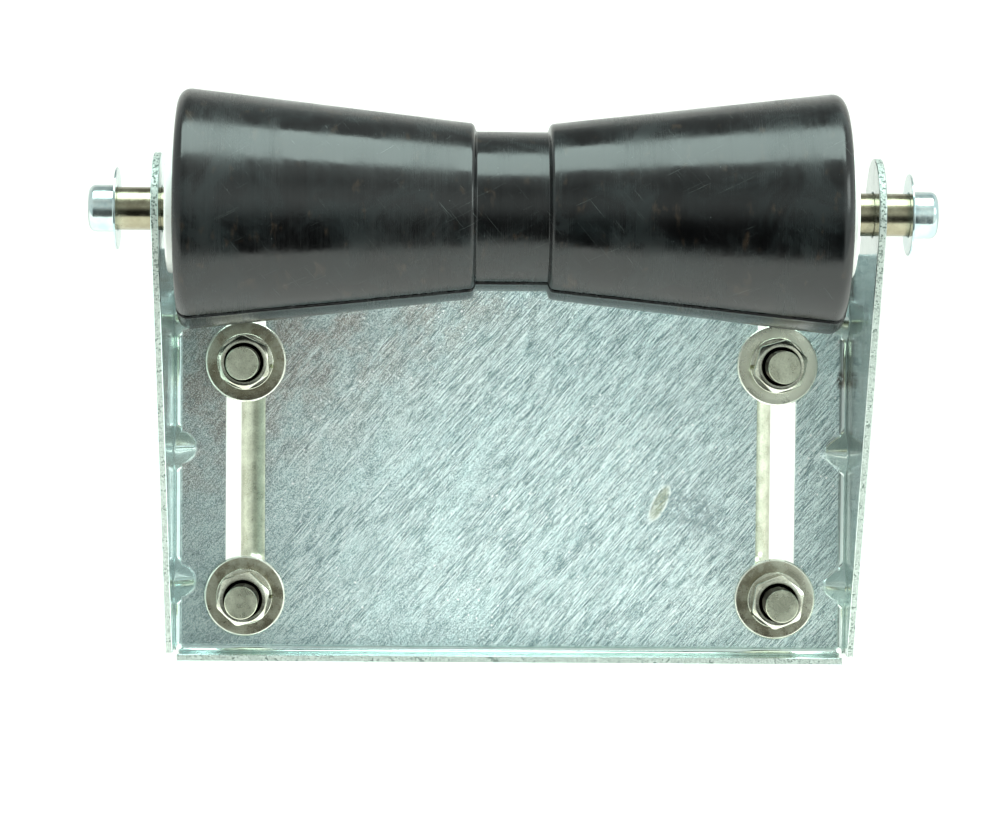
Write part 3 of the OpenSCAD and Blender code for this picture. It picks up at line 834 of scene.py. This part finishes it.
def make_u_bolt(side_name):
    """Square U-bolt, with a thread cut along both legs and a chamfer at each tip."""
    node = "u_bolt_" + side_name
    low, high = mm_box(node)
    leg_z = high[2] - ROD_R
    path, run = rod_path(low[1], high[1] - ROD_R, leg_z, CROWN_R)
    from_tip = np.minimum(run, run[-1] - run)
    tangent = np.gradient(path, axis=0)
    tangent /= np.linalg.norm(tangent, axis=1)[:, None]
    normal = np.stack([tangent[:, 1], -tangent[:, 0]], -1)
    count = 48
    theta = np.arange(count) * TAU / count
    far_leg = (run > run[-1] / 2)[:, None]
    turn = np.where(far_leg, theta, -theta) / TAU
    phase = (from_tip[:, None] / THREAD_PITCH + turn) % 1
    # vee is 0 on a thread's crest and 1 in its root
    vee = np.clip(np.abs(phase - 0.5) * 2.5 - 0.14, 0, 1)
    fade = np.clip((THREAD_LEN - from_tip) / (1.5 * THREAD_PITCH), 0, 1)[:, None]
    chamfer = np.clip((ROD_CHAMFER - from_tip) / ROD_CHAMFER, 0, 1)[:, None]
    start = np.clip(from_tip - ROD_CHAMFER, 0, 1)[:, None]
    radius = ROD_R - THREAD_DEPTH * vee * fade * start
    radius = np.minimum(radius, ROD_R - 0.3 * chamfer)
    x = (low[0] + high[0]) / 2 + radius * np.cos(theta)
    away = radius * np.sin(theta)
    y = path[:, 0][:, None] + away * normal[:, 0][:, None]
    z = path[:, 1][:, None] + away * normal[:, 1][:, None]
    verts = np.stack([x, y, z], -1).reshape(-1, 3)
    faces = grid_faces(len(path), count, False, True)
    last = (len(path) - 1) * count
    faces.append(list(range(count))[::-1])
    faces.append(list(range(last, last + count)))
    add_mesh(side_name + "_u_bolt", verts, faces, "clamp", [node],
             [ROD_STEEL], 45.0)


# ---------------------------------------------------------------- washers and nuts
def leg_point(row, side_name):
    """Where a U-bolt leg's axis crosses the plate's back face."""
    return np.array([SIDES[side_name] * LEG_X, 0, LEG_Z if row == "top" else -LEG_Z])


def make_flat_washer(row, side_name):
    """Stamped washer, rounder at its front edge."""
    node = f"flat_washer_{row}_{side_name}"
    low, high = mm_box(node)
    radius, bore = (high[2] - low[2]) / 2, FLAT_BORE_R
    corners = [(high[1], bore, 0.2), (high[1], radius, 0.25),
               (low[1], radius, 0.75), (low[1], bore, 0.45)]
    verts, faces = lathe(fillet(corners, True, 5, 3.0), leg_point(row, side_name), "y", 128)
    add_mesh(f"{row}_{side_name}_flat_washer", verts, faces, "clamp",
             [node], [WASHER_STEEL])


def make_lock_washer(row, side_name, split):
    """Split spring washer: a square wire ring whose slanted ends stay a little out of line."""
    node = f"lock_washer_{row}_{side_name}"
    low, high = mm_box(node)
    section = fillet([(high[1], LOCK_BORE_R, 0.35), (high[1], LOCK_R, 0.35),
                      (low[1], LOCK_R, 0.35), (low[1], LOCK_BORE_R, 0.35)], True, 4)
    opening, spring = 1.6, 0.16       # width of the split, and how far its ends are apart
    gap = opening / 2 / LOCK_R
    theta = np.linspace(gap, TAU - gap, 90)
    lift = spring * (theta / TAU - 0.5)
    slant = np.clip(1 - np.minimum(theta - gap, TAU - gap - theta) / 0.25, 0, 1)
    along, radius = section[:, 0][None, :], section[:, 1][None, :]
    centre_y = (low[1] + high[1]) / 2
    lean = slant[:, None] * 0.10 * (along - centre_y)
    angle = theta[:, None] + lean + math.radians(split)
    verts = np.stack([radius * np.cos(angle), along + lift[:, None] + 0 * angle,
                      -radius * np.sin(angle)], -1)
    verts = verts.reshape(-1, 3) * [1, 1, -1] + leg_point(row, side_name)
    faces = [f[::-1] for f in grid_faces(len(theta), len(section), False, True)]
    last = (len(theta) - 1) * len(section)
    faces.append(list(range(len(section))))
    faces.append(list(range(last, last + len(section)))[::-1])
    add_mesh(f"{row}_{side_name}_lock_washer", verts, faces, "clamp",
             [node], [NUT_STEEL])


def make_nut(row, side_name, turn):
    """Hexagon nut: rounded corners, chamfered faces, countersunk and threaded bore."""
    node = f"nut_{row}_{side_name}"
    low, high = mm_box(node)
    flats, height = NUT_FLATS / 2, high[1] - low[1]
    offsets = np.array([-30, -25, -19, -13, -8, -5, -3, -1.5, 0, 1.5, 3, 5, 8, 13, 19, 25])
    theta = np.radians(np.concatenate([offsets + 60 * k for k in range(6)]))
    from_flat = (theta + math.radians(30)) % math.radians(60) - math.radians(30)
    corner = flats / np.cos(math.radians(30) - np.abs(from_flat))
    hexagon = corner - 0.32 * np.exp(-(np.degrees(from_flat) / 2.6) ** 2)
    face_r = 0.95 * flats
    chamfer = (hexagon - face_r) * math.tan(math.radians(28))
    rows, bore, thread = [], ROD_R - 0.1, 0.9
    for z in np.arange(1.2, height - 1.8, THREAD_PITCH / 6):
        phase = (z / THREAD_PITCH - theta / TAU) % 1
        rows.append((bore - thread * np.abs(2 * phase - 1) ** 1.2 + 0.1, z))
    rows += [(bore, height - 1.5), (bore + 1.0, height - 1.1),
             (bore + 1.3, height - 0.3), (bore + 1.5, height),
             (face_r - 0.25, height), (face_r, height - 0.06),
             (hexagon - 0.12, height - chamfer + 0.02), (hexagon, height - chamfer - 0.22),
             (hexagon, chamfer + 0.22), (hexagon - 0.12, chamfer - 0.02),
             (face_r, 0.06), (face_r - 0.25, 0), (bore + 1.15, 0), (bore, 1.1)]
    whole = np.ones_like(theta)
    radius = np.array([r * whole for r, _ in rows])
    rise = np.array([z * whole for _, z in rows])
    angle = theta + math.radians(turn)
    verts = np.stack([radius * np.cos(angle), high[1] - rise, radius * np.sin(angle)], -1)
    verts = verts.reshape(-1, 3) + leg_point(row, side_name)
    faces = [f[::-1] for f in grid_faces(len(rows), len(theta), True, True)]
    add_mesh(f"{row}_{side_name}_nut", verts, faces, "clamp", [node],
             [NUT_STEEL], 28.0)


# where each lock washer is split and how far each nut is turned, in degrees
SPLITS = dict(zip(CORNERS, (0, 192, 10, 219)))
TURNS = dict(zip(CORNERS, (35, 16, 17, 22)))

make_bracket()
make_roller()
make_shaft()
for side_name in SIDES:
    make_cap(side_name)
    make_thrust_washer(side_name)
    make_u_bolt(side_name)
for corner in CORNERS:
    make_flat_washer(*corner)
    make_lock_washer(*corner, SPLITS[corner])
    make_nut(*corner, TURNS[corner])


# ---------------------------------------------------------------- studio
def make_floor():
    """Lit white sweep well below the bracket, which hangs on its beam. Here in metres."""
    front, bend_y, back, half = -0.43, 1.3, 1.9, 3.0
    level, rise, top, steps = -0.25, 0.6, 2.2, 12
    profile = [(front, level), (bend_y, level)]
    for k in range(1, steps + 1):
        a = k / steps * math.pi / 2
        profile.append((bend_y + (back - bend_y) * math.sin(a), level + rise * (1 - math.cos(a))))
    profile.append((back, top))
    verts = [(side * half, y, h) for y, h in profile for side in (-1, 1)]
    mesh = bpy.data.meshes.new("floor")
    mesh.from_pydata(verts, [], grid_faces(len(profile), 2))
    mesh.polygons.foreach_set("use_smooth", [True] * len(mesh.polygons))
    floor = bpy.data.objects.new("floor", mesh)
    bpy.context.scene.collection.objects.link(floor)
    paint = Nodes("floor_paint", Roughness=0.7, Emission_Color=(1, 1, 0.95, 1))
    glow = paint.remap(paint.axis("Y"), 50, 700, 0.88, 0.22)
    paint.plug(glow, paint.shader.inputs["Emission Strength"])
    tone = paint.mix(paint.noise(300, 2, 0.5), (0.74, 0.72, 0.70), (0.78, 0.76, 0.74))
    mesh.materials.append(paint.finish(tone))


def area_light(name, place, aim, size, radiance, color=(1, 1, 1)):
    """Softbox in metres with a given radiance, so its size sets how much light it gives."""
    lamp = bpy.data.lights.new(name, "AREA")
    lamp.shape = "RECTANGLE"
    lamp.size, lamp.size_y = size
    lamp.energy = radiance * math.pi * size[0] * size[1]
    lamp.color = color
    holder = bpy.data.objects.new(name, lamp)
    holder.location = place
    holder.rotation_euler = (Vector(aim) - Vector(place)).to_track_quat("-Z", "Y").to_euler()
    bpy.context.scene.collection.objects.link(holder)


def make_world():
    """White walls behind and beside, a dark room in front below the lens."""
    world = bpy.data.worlds.new("studio")
    bpy.context.scene.world = world
    world.use_nodes = True
    tree = world.node_tree
    back = tree.nodes["Background"]
    where = tree.nodes.new("ShaderNodeTexCoord")
    split = tree.nodes.new("ShaderNodeSeparateXYZ")
    tree.links.new(where.outputs["Generated"], split.inputs[0])

    def ramp(axis, stops):
        """Grey level along one direction of view, from -1 to 1."""
        made = tree.nodes.new("ShaderNodeFloatCurve")
        tree.links.new(split.outputs[axis], made.inputs["Value"])
        curve = made.mapping.curves[0]
        made.mapping.clip_min_x, made.mapping.clip_max_x = -1, 1
        made.mapping.clip_min_y, made.mapping.clip_max_y = 0, 4
        made.mapping.use_clip = True
        curve.points[0].location, curve.points[1].location = stops[0], stops[-1]
        for stop in stops[1:-1]:
            curve.points.new(*stop)
        for point in curve.points:
            point.handle_type = "VECTOR"
        made.mapping.update()
        return made.outputs["Value"]

    def blend(kind, factor, a, b):
        made = tree.nodes.new("ShaderNodeMix")
        made.data_type, made.blend_type = "RGBA", kind
        for value, name in ((factor, "Factor"), (a, "A"), (b, "B")):
            if isinstance(value, bpy.types.NodeSocket):
                tree.links.new(value, made.inputs[name])
            else:
                made.inputs[name].default_value = value
        return made.outputs["Result"]

    front = ramp("Z", [(-1, 0.3), (-0.64, 0.02), (-0.3, 0.03), (-0.16, 0.15), (-0.03, 0.6),
                       (0.05, 0.8), (0.17, 1.0), (0.34, 0.85), (0.5, 0.6), (0.64, 0.9),
                       (0.8, 1.2), (1, 0.8)])
    behind = ramp("Z", [(-1, 0.9), (0.7, 0.9), (0.87, 0.45), (1, 0.5)])
    facing = ramp("Y", [(-1, 1), (-0.55, 1), (-0.15, 0), (1, 0)])
    middle = ramp("X", [(-1, 0), (-0.6, 0), (-0.42, 1), (0.26, 1), (0.42, 0), (1, 0)])
    facing = blend("MULTIPLY", 1.0, facing, middle)
    side = ramp("X", [(-1, 1.15), (-0.3, 1.0), (-0.06, 0.65), (0.10, 1.1), (0.35, 1.5), (1, 1.5)])
    glow = blend("MULTIPLY", 1.0, blend("MIX", facing, behind, front), side)
    glow = blend("MULTIPLY", 1.0, glow, (0.90, 1.0, 0.96, 1))
    seen = tree.nodes.new("ShaderNodeLightPath")
    glow = blend("MIX", seen.outputs["Is Camera Ray"], glow, (1.05, 1.05, 1.05, 1))
    tree.links.new(glow, back.inputs["Color"])


def make_camera():
    """A long lens a little left of the middle and below the shaft, looking slightly down."""
    lens = bpy.data.cameras.new("camera")
    lens.sensor_width = 36.0
    lens.lens = 121.3
    camera = bpy.data.objects.new("camera", lens)
    yaw, pitch, roll = math.radians(1.255), math.radians(2.572), math.radians(0.485)
    turn = Matrix.Rotation(-yaw, 3, "Z") @ Matrix.Rotation(math.pi / 2 - pitch, 3, "X")
    turn = turn @ Matrix.Rotation(roll, 3, "Z")
    camera.location = (-0.0335, -1.3243, 0.0853)
    camera.rotation_euler = turn.to_euler()
    bpy.context.scene.collection.objects.link(camera)
    bpy.context.scene.camera = camera


make_floor()
make_world()
area_light("softbox", (0.0, -0.42, 1.15), (0, -0.07, 0.1), (1.4, 0.75), 7.0, (0.80, 1.0, 0.95))
area_light("right_fill", (1.3, -1.0, 0.55), (0, 0, 0.0), (0.7, 0.7), 4.2, (0.9, 1.0, 0.97))
make_camera()
bpy.context.scene.view_settings.view_transform = "Standard"
